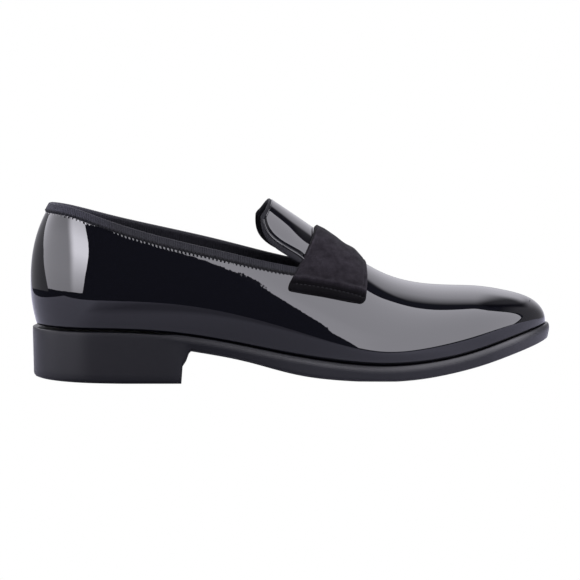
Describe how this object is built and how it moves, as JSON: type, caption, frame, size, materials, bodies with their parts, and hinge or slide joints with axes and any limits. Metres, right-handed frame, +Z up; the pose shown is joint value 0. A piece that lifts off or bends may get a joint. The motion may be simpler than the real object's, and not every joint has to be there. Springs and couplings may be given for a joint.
{
  "type": "dress loafer",
  "caption": "Slip-on dress loafer with a glossy whole-cut upper and integral tongue, ribbon-bound collar, suede saddle strap and moulded rubber sole with block heel.",
  "frame": {"origin": "middle of the bounding box at floor level", "axes": "+X towards the toe, +Y towards the wearer's left, which is the inner side of this right shoe, +Z up"},
  "size_m": [0.3038, 0.0958, 0.1054],
  "materials": {
    "sole_rubber": "satin moulded black rubber",
    "sock_leather": "matte black sock lining",
    "patent_leather": "mirror-gloss black patent",
    "ribbon": "ribbed black grosgrain",
    "suede": "napped black suede"
  },
  "bodies": {
    "root": {"sole": "sole_rubber", "insole": "sock_leather", "upper": "patent_leather", "collar_binding": "ribbon", "strap": "suede"}
  },
  "joints": []
}
